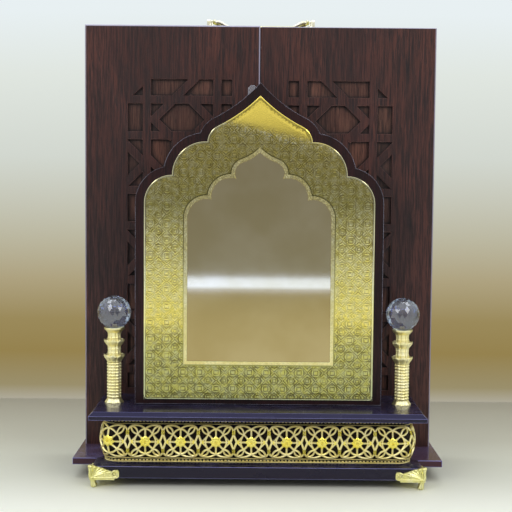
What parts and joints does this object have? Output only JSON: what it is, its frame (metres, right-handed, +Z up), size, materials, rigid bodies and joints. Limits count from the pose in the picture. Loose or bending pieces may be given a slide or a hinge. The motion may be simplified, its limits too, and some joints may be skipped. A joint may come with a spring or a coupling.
{
  "type": "quran stand",
  "caption": "Wooden Quran stand: tall carved backboard case on a footed base, ledge with crystal-topped pillars, and a hinged mihrab-shaped gilt door over a book niche.",
  "frame": {"origin": "on the floor, under the middle of the stand's bounding box", "axes": "+Z up along the stand's height, front with the door faces -Y, +X to the right seen from the front"},
  "size_m": [0.3354, 0.127, 0.4225],
  "materials": {
    "walnut": "satin dark walnut veneer, vertical grain",
    "lacquer": "high gloss black-brown lacquer",
    "gold": "polished gilt",
    "champagne_mirror": "satin champagne mirror",
    "crystal": "clear cut crystal",
    "acrylic": "clear polished acrylic",
    "steel": "zinc plated",
    "beech": "plain beech dowel"
  },
  "bodies": {
    "stand": {"base_plate": "lacquer", "rear_batten": "lacquer", "plinth_board": "lacquer", "riser_block": "lacquer", "filigree_band": "gold", "ledge_board": "lacquer", "front_foot_left": "gold", "front_foot_right": "gold", "rear_feet": "gold", "base_screws": "steel", "backboard_left": "walnut", "backboard_right": "walnut", "stile_left": "walnut", "stile_right": "walnut", "top_rail": "walnut", "bottom_rail": "walnut", "back_panel": "walnut", "back_screws": "steel", "base_dowels": "beech", "pillar_base_left": "gold", "pillar_base_right": "gold", "pillar_shaft_left": "gold", "pillar_shaft_right": "gold", "pillar_cup_left": "gold", "pillar_cup_right": "gold", "crystal_ball_left": "crystal", "crystal_ball_right": "crystal", "pillar_studs": "steel", "niche_side_left": "lacquer", "niche_side_right": "lacquer", "niche_roof_left": "lacquer", "niche_roof_right": "lacquer", "niche_back": "walnut", "catch_magnet": "steel", "hinge_wall_leaves": "gold", "hinge_wall_screws": "gold", "hinge_pins": "gold", "handle_post_left": "gold", "handle_post_right": "gold", "handle_screws": "gold"},
    "mihrab_door": {"door_board": "walnut", "gold_plate": "gold", "bead_frame": "gold", "centre_plate": "champagne_mirror", "hinge_door_leaves": "gold", "hinge_door_screws": "gold", "catch_keeper": "steel", "pull_tab": "acrylic"},
    "carrying_handle": {"handle_bail": "gold"}
  },
  "joints": [
    {"name": "door_hinge", "type": "hinge", "parent": "stand", "child": "mihrab_door", "pos_m": [0.0973, -0.0164, 0.16], "axis": [0, 0, 1], "range_deg": [0, 100]},
    {"name": "handle_hinge", "type": "hinge", "parent": "stand", "child": "carrying_handle", "pos_m": [0, 0.0415, 0.4195], "axis": [1, 0, 0], "range_deg": [0, 90]}
  ]
}
